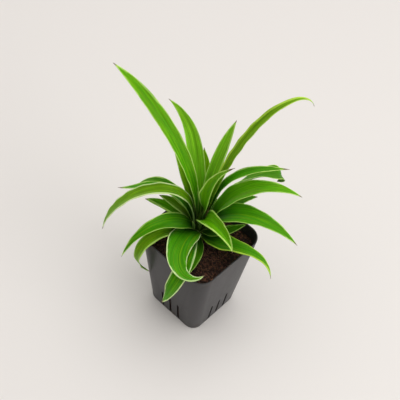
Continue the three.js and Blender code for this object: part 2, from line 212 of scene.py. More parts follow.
def deselect() -> None:
    """Leaves nothing selected, so that an operator acts only on what is picked next."""
    bpy.ops.object.select_all(action="DESELECT")


def added(name: str) -> Piece:
    """Names what an operator just made, and takes its place and scale into its mesh.

    Args:
        name: The object's name.

    Returns:
        The new object, active and selected.
    """
    bpy.ops.object.transform_apply(location=True, rotation=True, scale=True)
    made = bpy.context.object
    made.name = name
    made.data.name = name
    return made


def activate(piece: Piece) -> None:
    """Makes one object the only selected and the active one."""
    deselect()
    piece.select_set(True)
    bpy.context.view_layer.objects.active = piece


def pick(piece: Piece, element: Element, rule: Callable[..., bool]) -> None:
    """Selects in edit mode what a rule keeps.

    Args:
        piece: The object, which enters edit mode.
        element: What to pick.
        rule: Says of one vertex, edge or face whether it is picked.
    """
    if piece.mode != "EDIT":
        activate(piece)
        bpy.ops.object.mode_set(mode="EDIT")
    bpy.ops.mesh.select_mode(type=element.name)
    bpy.ops.mesh.select_all(action="DESELECT")
    mesh = bmesh.from_edit_mesh(piece.data)
    for part in getattr(mesh, element.value):
        if rule(part):
            part.select_set(True)
    mesh.select_flush_mode()
    bmesh.update_edit_mesh(piece.data)


def leave_edit() -> None:
    """Back to object mode."""
    bpy.ops.object.mode_set(mode="OBJECT")


def face_outwards() -> None:
    """Turns all faces of the piece in edit mode outwards, then leaves edit mode."""
    bpy.ops.mesh.select_all(action="SELECT")
    bpy.ops.mesh.normals_make_consistent(inside=False)
    leave_edit()


def apply_modifier(piece: Piece, kind: str, **settings: object) -> None:
    """Adds a modifier and applies it at once.

    Args:
        piece: The object to change.
        kind: The modifier's type.
        **settings: The modifier's properties.
    """
    activate(piece)
    modifier = piece.modifiers.new(kind.lower(), kind)
    for key, value in settings.items():
        setattr(modifier, key, value)
    bpy.ops.object.modifier_apply(modifier=modifier.name)


def joined(pieces: Sequence[Piece], name: str) -> Piece:
    """Joins objects into one.

    Args:
        pieces: The objects, of which the first one stays.
        name: The name of the result.

    Returns:
        The joined object.
    """
    activate(pieces[0])
    for piece in pieces[1:]:
        piece.select_set(True)
    bpy.ops.object.join()
    return added(name)


def mark(piece: Piece, name: str, kind: str, values: Line) -> None:
    """Keeps a number or a vector for each of a mesh's points.

    Args:
        piece: The object.
        name: The name of the attribute.
        kind: Its type, FLOAT or FLOAT_VECTOR.
        values: The values in the order of the points.
    """
    layer = piece.data.attributes.new(name, kind, "POINT").data
    layer.foreach_set("value" if kind == "FLOAT" else "vector", values.astype(np.float32).ravel())


def seat(piece: Piece, finish: "Finish", crease: float, node: str = "") -> None:
    """Gives a finished piece its shading, its material and its place in the frame.

    Args:
        piece: The finished object.
        finish: Its look.
        crease: The angle between faces from which an edge stays sharp.
        node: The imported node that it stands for, if any.
    """
    activate(piece)
    bpy.ops.object.shade_smooth_by_angle(angle=math.radians(crease))
    piece.data.materials.clear()
    piece.data.materials.append(finish.material())
    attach(piece, BODY)
    if node:
        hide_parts(node)
    log.info("%s: %d faces", piece.name, len(piece.data.polygons))


def spread(values: Numbers, shares: Line) -> Line:
    """The values of an evenly spread list at shares of the way along it."""
    return np.interp(shares * (len(values) - 1), np.arange(len(values)), values)


class Wiring:
    """A shader node tree that is being built."""

    def __init__(self, tree: Tree) -> None:
        """Keeps the tree of a material, a world or a group."""
        self.tree = tree

    def feed(self, socket: Socket, value: object) -> None:
        """Links a socket to another one, or sets its value."""
        if isinstance(value, Socket):
            self.tree.links.new(value, socket)
        else:
            socket.default_value = value

    def node(self, kind: str, inputs: dict | None = None, **settings: object) -> bpy.types.Node:
        """Adds a node.

        Args:
            kind: The node's type.
            inputs: Values or sockets for its inputs, by name or by place.
            **settings: The node's own properties.

        Returns:
            The new node.
        """
        made = self.tree.nodes.new(kind)
        for key, value in settings.items():
            setattr(made, key, value)
        for key, value in (inputs or {}).items():
            self.feed(made.inputs[key], value)
        return made

    def math(self, operation: str, a: object, b: object) -> Socket:
        """An operation on two numbers."""
        return self.node("ShaderNodeMath", {0: a, 1: b}, operation=operation).outputs[0]

    def times(self, a: object, b: object) -> Socket:
        """The product of two numbers."""
        return self.math("MULTIPLY", a, b)

    def plus(self, base: object, extra: object, share: float = 1.0) -> Socket:
        """A number with a share of another one added."""
        return self.math("ADD", base, extra if share == 1 else self.times(extra, share))

    def mix(self, share: object, a: object, b: object, blend: str = "MIX") -> Socket:
        """A mix of two colours."""
        inputs = {0: share, 6: a, 7: b}
        return self.node("ShaderNodeMix", inputs, data_type="RGBA", blend_type=blend).outputs[2]

    def between(self, value: object, low: object, high: object, first: float = 0.0, last: float = 1.0,
                ) -> Socket:
        """A smooth step from the first value at low to the last value at high."""
        inputs = {"Value": value, "From Min": low, "From Max": high, "To Min": first, "To Max": last}
        return self.node("ShaderNodeMapRange", inputs, interpolation_type="SMOOTHSTEP").outputs[0]

    def noise(self, vector: object, scale: object, detail: float) -> Socket:
        """A noise value at a vector."""
        inputs = {"Vector": vector, "Scale": scale, "Detail": detail}
        return self.node("ShaderNodeTexNoise", inputs).outputs[0]

    def parts(self, vector: object) -> Sockets:
        """The three numbers of a vector."""
        return self.node("ShaderNodeSeparateXYZ", {0: vector}).outputs

    def object_place(self) -> Socket:
        """The place on the object, in metres."""
        return self.node("ShaderNodeTexCoord").outputs["Object"]

    def bump(self, height: object, depth: float, strength: float = 1.0) -> Socket:
        """A normal from a height of 0 to 1, for a relief of a depth in millimetres."""
        inputs = {"Strength": strength, "Distance": depth * MM, "Height": height}
        return self.node("ShaderNodeBump", inputs).outputs[0]

    def pattern(self, group: Tree, inputs: dict) -> Sockets:
        """The outputs of a shared pattern."""
        return self.node("ShaderNodeGroup", inputs, node_tree=group).outputs

    def grain(self, scale: float) -> Sockets:
        """The fine and coarse grain of the object at a scale."""
        return self.pattern(grain_pattern(), {"Vector": self.object_place(), "Scale": scale})


def new_group(name: str, inputs: dict[str, str], outputs: Sequence[str],
              ) -> tuple[Wiring, Sockets, bpy.types.NodeInputs]:
    """An empty shader node group.

    Args:
        name: The group's name.
        inputs: Its inputs, each with the kind of its socket.
        outputs: Its outputs, all numbers.

    Returns:
        Its wiring, the sockets that give its inputs and those that take its outputs.
    """
    tree = bpy.data.node_groups.new(name, "ShaderNodeTree")
    for socket, kind in inputs.items():
        tree.interface.new_socket(name=socket, in_out="INPUT", socket_type=f"NodeSocket{kind}")
    for socket in outputs:
        tree.interface.new_socket(name=socket, in_out="OUTPUT", socket_type="NodeSocketFloat")
    net = Wiring(tree)
    return net, net.node("NodeGroupInput").outputs, net.node("NodeGroupOutput").inputs


@cache
def grain_pattern() -> Tree:
    """Fine and coarse grain of a surface, for a place and a scale.

    Returns:
        The node group, built once.
    """
    coarse_ratio = 0.12
    sockets = {"Vector": "Vector", "Scale": "Float"}
    net, given, asked = new_group("fine_grain", sockets, ("Fine", "Coarse"))
    coarse = net.times(given["Scale"], coarse_ratio)
    net.feed(asked["Fine"], net.noise(given["Vector"], given["Scale"], 4.0))
    net.feed(asked["Coarse"], net.noise(given["Vector"], coarse, 2.0))
    return net.tree


@cache
def streak_pattern() -> Tree:
    """Streaks along a blade, for places across and along it in millimetres.

    Returns:
        The node group, built once.
    """
    streaks = {"Veins": (1.9, 0.02), "Bands": (0.55, 0.012), "Patches": (0.16, 0.06)}
    sockets = {"Across": "Float", "Along": "Float", "Seed": "Float"}
    net, given, asked = new_group("blade_streaks", sockets, tuple(streaks))
    for output, (across, along) in streaks.items():
        inputs = {0: net.times(given["Across"], across), 1: net.times(given["Along"], along),
                  2: given["Seed"]}
        place = net.node("ShaderNodeCombineXYZ", inputs).outputs[0]
        net.feed(asked[output], net.noise(place, 1.0, 2.5))
    return net.tree


@cache
def dust_pattern() -> Tree:
    """Soil dust on a surface below one height and above another, in metres.

    Returns:
        The node group, built once.
    """
    blotch_scale, fade = 130.0, 16 * MM
    sockets = {"Vector": "Vector", "Clean From": "Float", "Clean To": "Float"}
    net, given, asked = new_group("soil_dust", sockets, ("Amount",))
    height = net.parts(given["Vector"])[2]
    blotches = net.between(net.noise(given["Vector"], blotch_scale, 6.0), 0.46, 0.72)
    low = net.between(height, given["Clean From"], 0.0)
    top = net.between(height, given["Clean To"], net.plus(given["Clean To"], fade))
    net.feed(asked["Amount"], net.times(blotches, net.math("MAXIMUM", low, top)))
    return net.tree


class Finish:
    """A look for a piece: a Principled BSDF, of which each kind of finish wires the inputs."""

    name: str

    def inputs(self, net: Wiring) -> dict:
        """Wires what the shader takes.

        Args:
            net: The material's node tree.

        Returns:
            Values or sockets for the shader's inputs, by name.
        """
        raise NotImplementedError

    def material(self) -> Material:
        """Builds the material.

        Returns:
            The material.
        """
        material = bpy.data.materials.new(self.name)
        material.use_nodes = True
        material.node_tree.nodes.clear()
        net = Wiring(material.node_tree)
        shader = net.node("ShaderNodeBsdfPrincipled", self.inputs(net))
        net.node("ShaderNodeOutputMaterial", {0: shader.outputs[0]})
        return material


@dataclass(frozen=True)
class PotPlastic(Finish):
    """Thin dark grey moulded plastic, softly glossy, with flow marks and a little soil dust."""

    name: str = "pot_plastic"
    dark: Colour = (0.018, 0.017, 0.019, 1)
    light: Colour = (0.038, 0.036, 0.038, 1)
    soil_dust: Colour = (0.16, 0.12, 0.09, 1)
    flow_scale: float = 90.0
    grain_scale: float = 1600.0
    clean_heights: Span = (18.0, 86.0)
    dust_share: float = 0.35
    dust_roughness: float = 0.3
    roughness: Span = (0.34, 0.46)
    specular: float = 0.4
    relief: float = 0.12

    def inputs(self, net: Wiring) -> dict:
        """Wires what the shader takes."""
        place = net.object_place()
        inputs = {"Vector": place, "Scale": (1, 1, 0.12)}
        flow = net.noise(net.node("ShaderNodeMapping", inputs).outputs[0], self.flow_scale, 3.0)
        grain = net.grain(self.grain_scale)
        low, high = self.clean_heights
        inputs = {"Vector": place, "Clean From": low * MM, "Clean To": high * MM}
        dust = net.pattern(dust_pattern(), inputs)["Amount"]
        clouds = net.plus(net.times(flow, 0.6), grain["Coarse"], 0.4)
        colour = net.mix(net.between(clouds, 0.35, 0.65), self.dark, self.light)
        colour = net.mix(net.times(dust, self.dust_share), colour, self.soil_dust)
        gloss = net.between(clouds, 0.3, 0.7, *self.roughness)
        height = net.plus(flow, grain["Fine"], 0.25)
        return {"Base Color": colour, "Specular IOR Level": self.specular,
                "Roughness": net.plus(gloss, dust, self.dust_roughness),
                "Normal": net.bump(height, self.relief, 0.35)}


@dataclass(frozen=True)
class CoirSoil(Finish):
    """Damp coir: dark brown with reddish crumbs and strands."""

    name: str
    dark: Colour
    light: Colour
    scale: float
    relief: float
    fine: Span = (0.42, 0.66)
    coarse: Span = (0.3, 0.62)
    roughness: Span = (0.72, 0.98)
    specular: float = 0.25

    def inputs(self, net: Wiring) -> dict:
        """Wires what the shader takes."""
        grain = net.grain(self.scale)
        share = net.times(net.between(grain["Fine"], *self.fine), net.between(grain["Coarse"], *self.coarse))
        return {"Base Color": net.mix(share, self.dark, self.light),
                "Specular IOR Level": self.specular,
                "Roughness": net.between(grain["Fine"], 0.3, 0.7, *self.roughness),
                "Normal": net.bump(grain["Fine"], self.relief)}


@dataclass(frozen=True)
class LeafTissue(Finish):
    """Green blade with fine lengthwise veins, cream margins, a dry tip and painted shade at its foot."""

    name: str
    blade: Blade
    seed: float
    dry: Colour = (0.17, 0.125, 0.07, 1)
    under: Colour = (0.22, 0.42, 0.1, 1)
    # the leaf base's own tone, darkened as painted shade of the crown
    shaded_sheath: Colour = (0.13, 0.22, 0.04, 1)
    yellow: Colour = (0.2, 0.36, 0.003, 1)
    under_share: float = 0.35
    sheath_share: float = 0.7
    sheath_reach: Span = (3.0, -5.0)
    yellow_share: float = 0.4
    bright_from: float = 0.55
    foot_reach: float = 30.0
    # painted shade of the crown: the share of green and of cream that a blade keeps at its foot
    foot_shade: float = 0.3
    vein_shades: Span = (0.66, 1.34)
    wander: float = 1.6
    broadening: float = 2.0
    margin_blur: float = 0.2
    streak_share: float = 0.55
    grain_scale: float = 2600.0
    roughness: Span = (0.34, 0.48)
    dry_roughness: float = 0.3
    specular: float = 0.07
    relief: float = 0.16

    def green(self, net: Wiring, streaks: Sockets, along: Socket) -> Socket:
        """The green of the blade, deeper towards its foot, darkened there by painted shade of the crown, and
        striped by its veins.

        Args:
            net: The material's node tree.
            streaks: The streaks of this blade.
            along: The distance from its foot.

        Returns:
            The colour.
        """
        brighter = net.between(along, 0.0, self.bright_from * self.blade.length)
        patches = net.between(streaks["Patches"], 0.3, 0.7)
        share = net.plus(net.times(brighter, 0.6), patches, 0.4)
        colour = net.mix(share, *self.blade.tone.value)
        yellowed = net.between(streaks["Bands"], 0.5, 0.66, 0.0, self.yellow_share)
        colour = net.mix(yellowed, colour, self.yellow)
        stripes = net.between(streaks["Veins"], 0.34, 0.68, *self.vein_shades)
        # painted shade: the green darkens towards the foot, where the crown shades it
        foot = net.between(along, -4.0, self.foot_reach, self.foot_shade, 1.0)
        shade = net.times(stripes, foot)
        grey = net.node("ShaderNodeCombineColor", {0: shade, 1: shade, 2: shade}).outputs[0]
        return net.mix(1.0, colour, grey, "MULTIPLY")

    def cream(self, net: Wiring, streaks: Sockets, lamina: Sockets) -> Socket:
        """The share of cream: a band along each side, with a pale streak now and then inside it, faded
        towards the foot by painted shade of the crown.

        Args:
            net: The material's node tree.
            streaks: The streaks of this blade.
            lamina: The distances from its left margin, its right margin and its foot.

        Returns:
            The share.
        """
        wanders = [net.times(net.math("SUBTRACT", streaks[name], 0.5), reach)
                   for name, reach in (("Bands", self.wander), ("Patches", self.broadening))]
        wander = net.plus(*wanders)
        streak = net.between(streaks["Veins"], 0.6, 0.66, 0.0, self.streak_share)
        masks = []
        for edge, band in ((lamina[0], self.blade.left.value), (lamina[1], self.blade.right.value)):
            line = net.plus(edge, wander)
            solid = net.between(line, band + self.margin_blur, band - self.margin_blur)
            near = net.between(edge, 3.6 * band, 1.2 * band)
            masks.append(net.math("MAXIMUM", solid, net.times(near, streak)))
        # painted shade: the cream fades towards the foot, in the crown's shade
        foot = net.between(lamina[2], 4.0, self.foot_reach, self.foot_shade, 1.0)
        uneven = net.between(streaks["Patches"], 0.3, 0.55, 0.6, 1.0)
        return net.times(net.math("MAXIMUM", *masks), net.times(foot, uneven))

    def inputs(self, net: Wiring) -> dict:
        """Wires what the shader takes."""
        lamina = net.parts(net.node("ShaderNodeAttribute", attribute_name="lamina").outputs["Vector"])
        along = lamina[2]
        across = net.math("SUBTRACT", lamina[0], lamina[1])
        inputs = {"Across": across, "Along": along, "Seed": self.seed}
        streaks = net.pattern(streak_pattern(), inputs)
        colour = self.green(net, streaks, along)
        colour = net.mix(self.cream(net, streaks, lamina), colour, self.blade.cream.value)
        lower = net.node("ShaderNodeAttribute", attribute_name="under").outputs["Fac"]
        colour = net.mix(net.times(lower, self.under_share), colour, self.under)
        # painted shade: the feet take the sheath colour, darkened for the crown's shade
        sheathed = net.between(along, *self.sheath_reach, 0.0, self.sheath_share)
        colour = net.mix(sheathed, colour, self.shaded_sheath)
        end = self.blade.length
        dried = net.between(along, end - self.blade.dry, end - 0.35 * self.blade.dry)
        gloss = net.between(streaks["Veins"], 0.3, 0.7, *self.roughness)
        height = net.plus(streaks["Veins"], net.grain(self.grain_scale)["Fine"], 0.12)
        return {
            "Base Color": net.mix(dried, colour, self.dry),
            "Roughness": net.plus(gloss, dried, self.dry_roughness),
            "Specular IOR Level": self.specular,
            "Subsurface Weight": 0.1,
            "Subsurface Radius": (0.35, 1.0, 0.2),
            "Subsurface Scale": 0.9 * MM,
            "Normal": net.bump(height, self.relief, 0.6),
        }


@dataclass(frozen=True)
class FloorPaint(Finish):
    """Plain pale ground."""

    name: str = "pale_floor"
    colour: Colour = (0.8, 0.765, 0.74, 1)
    roughness: float = 0.6

    def inputs(self, net: Wiring) -> dict:
        """Wires what the shader takes."""
        return {"Base Color": self.colour, "Roughness": self.roughness}


@dataclass
class NurseryPot:
    """The square tapered pot: rounded corners, an open top, slots low in each face."""

    bottom_share: float = 0.75
    corner: float = 13.5
    corner_steps: int = 12
    wall: float = 1.2
    floor: float = 1.8
    rim_round: float = 0.35
    foot_round: float = 1.2
    slots: int = 3
    slot_spacing: float = 10.0
    slot_width: float = 2.4
    slot_low: float = 2.4
    slot_high: float = 28.0
    hole_radius: float = 3.0
    hole_reach: float = 16.0
    on_edge: float = 0.01
    crease: float = 32.0
    top: float = field(init=False)
    side: float = field(init=False)

    def __post_init__(self) -> None:
        """Takes the pot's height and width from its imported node."""
        low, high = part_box("pot")
        self.top = high.z / MM
        self.side = (high.x - low.x) / MM

    def side_at(self, height: float) -> float:
        """The pot's outer width at a height."""
        share = self.bottom_share + (1 - self.bottom_share) * height / self.top
        return self.side * share

    def shell(self) -> Piece:
        """The tapered block, hollowed from its top.

        Returns:
            The pot without its slots and holes.
        """
        bpy.ops.mesh.primitive_cube_add(size=1, location=(0, 0, self.top * MM / 2),
                                        scale=(self.side * MM, self.side * MM, self.top * MM))
        pot = added("pot_shell")
        pick(pot, Element.EDGE, lambda e: abs(e.verts[0].co.z - e.verts[1].co.z) > MM)
        bpy.ops.mesh.bevel(offset=self.corner * MM, segments=self.corner_steps, affect="EDGES")
        pick(pot, Element.VERT, lambda v: v.co.z < MM)
        bpy.ops.transform.resize(value=(self.bottom_share, self.bottom_share, 1))
        pick(pot, Element.FACE, lambda f: f.normal.z > 0.9)
        bpy.ops.mesh.inset(thickness=self.wall * MM)
        depth = (self.floor - self.top) * MM
        bpy.ops.mesh.extrude_region_move(TRANSFORM_OT_translate={"value": (0, 0, depth)})
        narrow = (self.side_at(self.floor) - 2 * self.wall) / (self.side - 2 * self.wall)
        bpy.ops.transform.resize(value=(narrow, narrow, 1))
        pick(pot, Element.EDGE, lambda e: all(v.co.z > (self.top - self.on_edge) * MM for v in e.verts)
             and len(e.link_faces) == 2 and min(f.normal.z for f in e.link_faces) < 0.5)
        bpy.ops.mesh.bevel(offset=self.rim_round * MM, segments=3, affect="EDGES")
        pick(pot, Element.EDGE, lambda e: all(v.co.z < self.on_edge * MM for v in e.verts))
        bpy.ops.mesh.bevel(offset=self.foot_round * MM, segments=4, affect="EDGES")
        leave_edit()
        return pot

    def cutter(self) -> Piece:
        """Round-ended upright blocks for each face's slots, and a rod for the hole at its corner.

        Returns:
            The blocks and rods in one.
        """
        made = []
        tall = self.slot_high - self.slot_low
        middle = (self.slot_high + self.slot_low) / 2
        reach = self.side_at(middle) / 2
        for face in range(4):
            turn = Matrix.Rotation(face * math.pi / 2, 4, "Z")
            for slot in range(self.slots):
                offset = (slot - (self.slots - 1) / 2) * self.slot_spacing
                bpy.ops.mesh.primitive_cube_add(
                    size=1, location=(offset * MM, -reach * MM, middle * MM),
                    scale=(self.slot_width * MM, 8 * self.wall * MM, tall * MM))
                made.append(added("slot_cutter"))
                pick(made[-1], Element.EDGE, lambda e: abs(e.verts[0].co.y - e.verts[1].co.y) > MM)
                bpy.ops.mesh.bevel(offset=0.49 * self.slot_width * MM, segments=5, affect="EDGES")
                leave_edit()
                made[-1].data.transform(turn)
            bpy.ops.mesh.primitive_cylinder_add(
                vertices=32, radius=self.hole_radius * MM, depth=6 * self.floor * MM,
                location=(self.hole_reach * MM, self.hole_reach * MM, 0))
            made.append(added("hole_cutter"))
            made[-1].data.transform(turn)
        return joined(made, "pot_cutters")

    def build(self) -> None:
        """Makes the pot and seats it."""
        pot = self.shell()
        cutter = self.cutter()
        apply_modifier(pot, "BOOLEAN", object=cutter, operation="DIFFERENCE", solver="EXACT")
        bpy.data.objects.remove(cutter)
        seat(pot, PotPlastic(), self.crease, "pot")


@dataclass(frozen=True)
class Litter:
    """Small coir on the bed: its margin to the walls, its scales, slant and height above the bed."""

    name: str
    count: int
    margin: float
    sizes: Span
    slant: float
    lift: float
    crease: float
    finish: CoirSoil


DAMP_COIR = CoirSoil("damp_coir", (0.014, 0.007, 0.005, 1), (0.13, 0.052, 0.031, 1), 560.0, 0.5)
CRUMBS = Litter("soil_crumbs", 620, 1.6, (0.4, 1.6), 180, 0.1, 40, CoirSoil(
    "coir_crumbs", (0.024, 0.011, 0.007, 1), (0.23, 0.09, 0.052, 1), 420.0, 0.3))
STRANDS = Litter("soil_strands", 420, 7.0, (0.45, 1.15), 14, 0.35, 60, CoirSoil(
    "coir_strands", (0.06, 0.026, 0.014, 1), (0.22, 0.105, 0.055, 1), 260.0, 0.1))


@dataclass
class SoilBed:
    """The coir in the pot: a rough bed with crumbs and strands lying on it."""

    pot: NurseryPot
    gap: float = 0.3
    level: float = 88.0
    swell: float = 0.9
    swell_lengths: Span = (7.0, 8.0)
    lump_lengths: Span = (3.1, 4.3)
    lump_share: float = 0.6
    grit: float = 0.9
    grit_lengths: Span = (2.6, 0.9)
    cells: int = 150
    crease: float = 50.0
    crumb_bumps: Span = (0.6, 1.25)
    strand_radius: float = 0.2
    strand_start: float = -5.0
    strand_steps: int = 7
    strand_step: float = 1.4
    strand_wander: Span = (0.8, 0.2)
    strand_tip: float = 0.4
    seed: int = 41

    def height_at(self, x: float, y: float) -> float:
        """The soil's height at a place, with its grit.

        Args:
            x: The place's X.
            y: The place's Y.

        Returns:
            The height.
        """
        swell = math.sin(x / self.swell_lengths[0] + 1) * math.cos(y / self.swell_lengths[1])
        lumps = math.sin(x / self.lump_lengths[0] - y / self.lump_lengths[1])
        coarse = noise.noise(Vector((x, y, 3.0)) / self.grit_lengths[0])
        fine = noise.noise(Vector((x, y, 9.0)) / self.grit_lengths[1])
        return self.level + self.swell * (swell + self.lump_share * lumps) + self.grit * (coarse + 0.5 * fine)

    def outline_reach(self, x: float, y: float) -> float:
        """How far the bed reaches from its middle in the direction of a place.

        Args:
            x: The place's X.
            y: The place's Y.

        Returns:
            The distance to the bed's rounded square outline.
        """
        inset = self.pot.wall + self.gap
        half = self.pot.side / 2 - inset
        corner = self.pot.corner - inset
        size = math.hypot(x, y)
        dx, dy = abs(x) / size, abs(y) / size
        reach = half / max(dx, dy)
        core = half - corner
        if min(dx, dy) * reach > core:
            along = core * (dx + dy)
            reach = along + math.sqrt(along**2 - 2 * core**2 + corner**2)
        return reach * (self.pot.side_at(self.level) - 2 * inset) / (2 * half)

    def bed(self) -> None:
        """Seats the bed: a fine sheet laid into the pot's outline, closed down to the pot's floor."""
        bpy.ops.mesh.primitive_grid_add(x_subdivisions=self.cells, y_subdivisions=self.cells, size=2)
        bed = added("soil_bed")
        for vert in bed.data.vertices:
            x, y, _ = vert.co
            ring = max(abs(x), abs(y))
            reach = self.outline_reach(x, y) * ring if ring else 0.0
            place = Vector((x, y)).normalized() * reach
            vert.co = Vector((place.x, place.y, self.height_at(place.x, place.y))) * MM
        pick(bed, Element.EDGE, lambda e: len(e.link_faces) == 1)
        bpy.ops.mesh.extrude_region_move(TRANSFORM_OT_translate={"value": (0, 0, -MM)})
        low = self.pot.floor + self.gap
        inset = self.pot.wall + self.gap
        narrow = (self.pot.side_at(low) - 2 * inset) / (self.pot.side_at(self.level) - 2 * inset)
        bpy.ops.transform.resize(value=(narrow, narrow, 0))
        mesh = bmesh.from_edit_mesh(bed.data)
        drop = low * MM - next(v.co.z for v in mesh.verts if v.select)
        bpy.ops.transform.translate(value=(0, 0, drop))
        bpy.ops.mesh.edge_face_add()
        face_outwards()
        seat(bed, DAMP_COIR, self.crease, "soil")

    def crumbs(self, draw: random.Random) -> None:
        """Scatters copies of three uneven crumbs of about a millimetre.

        Args:
            draw: The source of their bumps and places.
        """
        models = []
        for _ in range(3):
            bpy.ops.mesh.primitive_ico_sphere_add(subdivisions=1, radius=MM)
            crumb = added("crumb")
            for vert in crumb.data.vertices:
                vert.co *= draw.uniform(*self.crumb_bumps)
            models.append(crumb)
        self.scatter(models, draw, CRUMBS)

    def strands(self, draw: random.Random) -> None:
        """Scatters copies of four bent strands, about ten millimetres long, drawn from a small ring.

        Args:
            draw: The source of their bends and places.
        """
        models = []
        sideways, upwards = self.strand_wander
        for _ in range(4):
            bpy.ops.mesh.primitive_circle_add(vertices=5, radius=self.strand_radius * MM,
                                              fill_type="NGON", rotation=(0, math.pi / 2, 0),
                                              location=(self.strand_start * MM, 0, 0))
            strand = added("strand")
            pick(strand, Element.FACE, lambda f: True)
            for _step in range(self.strand_steps):
                move = (self.strand_step * MM, draw.uniform(-sideways, sideways) * MM,
                        draw.uniform(-upwards, upwards) * MM)
                bpy.ops.mesh.extrude_region_move(TRANSFORM_OT_translate={"value": move})
            bpy.ops.transform.resize(value=(1, self.strand_tip, self.strand_tip))
            face_outwards()
            models.append(strand)
        self.scatter(models, draw, STRANDS)

    def scatter(self, models: Sequence[Piece], draw: random.Random, litter: Litter) -> None:
        """Lays copies of a few models on the bed and seats them as one piece.

        Args:
            models: The shapes to copy, which are removed afterwards.
            draw: The source of each copy's place, turn, slant, size and shape.
            litter: What they become.
        """
        half = self.pot.side / 2
        places = []
        while len(places) < litter.count:
            x, y = draw.uniform(-half, half), draw.uniform(-half, half)
            if math.hypot(x, y) < self.outline_reach(x, y) - litter.margin:
                places.append((x, y))
        copies = []
        for x, y in places:
            turn = Matrix.Rotation(draw.uniform(0, 2 * math.pi), 4, "Z")
            lean = Matrix.Rotation(math.radians(draw.uniform(-litter.slant, litter.slant)), 4, "Y")
            size = Matrix.Scale(draw.uniform(*litter.sizes), 4)
            place = Matrix.Translation(Vector((x, y, self.height_at(x, y) + litter.lift)) * MM)
            model = draw.choice(models)
            copy = model.copy()
            copy.data = model.data.copy()
            copy.data.transform(place @ turn @ lean @ size)
            bpy.context.scene.collection.objects.link(copy)
            copies.append(copy)
        for model in models:
            bpy.data.objects.remove(model)
        seat(joined(copies, litter.name), litter.finish, litter.crease)

    def build(self) -> None:
        """Makes the bed, crumbs and strands and seats them."""
        draw = random.Random(self.seed)
        self.bed()
        self.crumbs(draw)
        self.strands(draw)


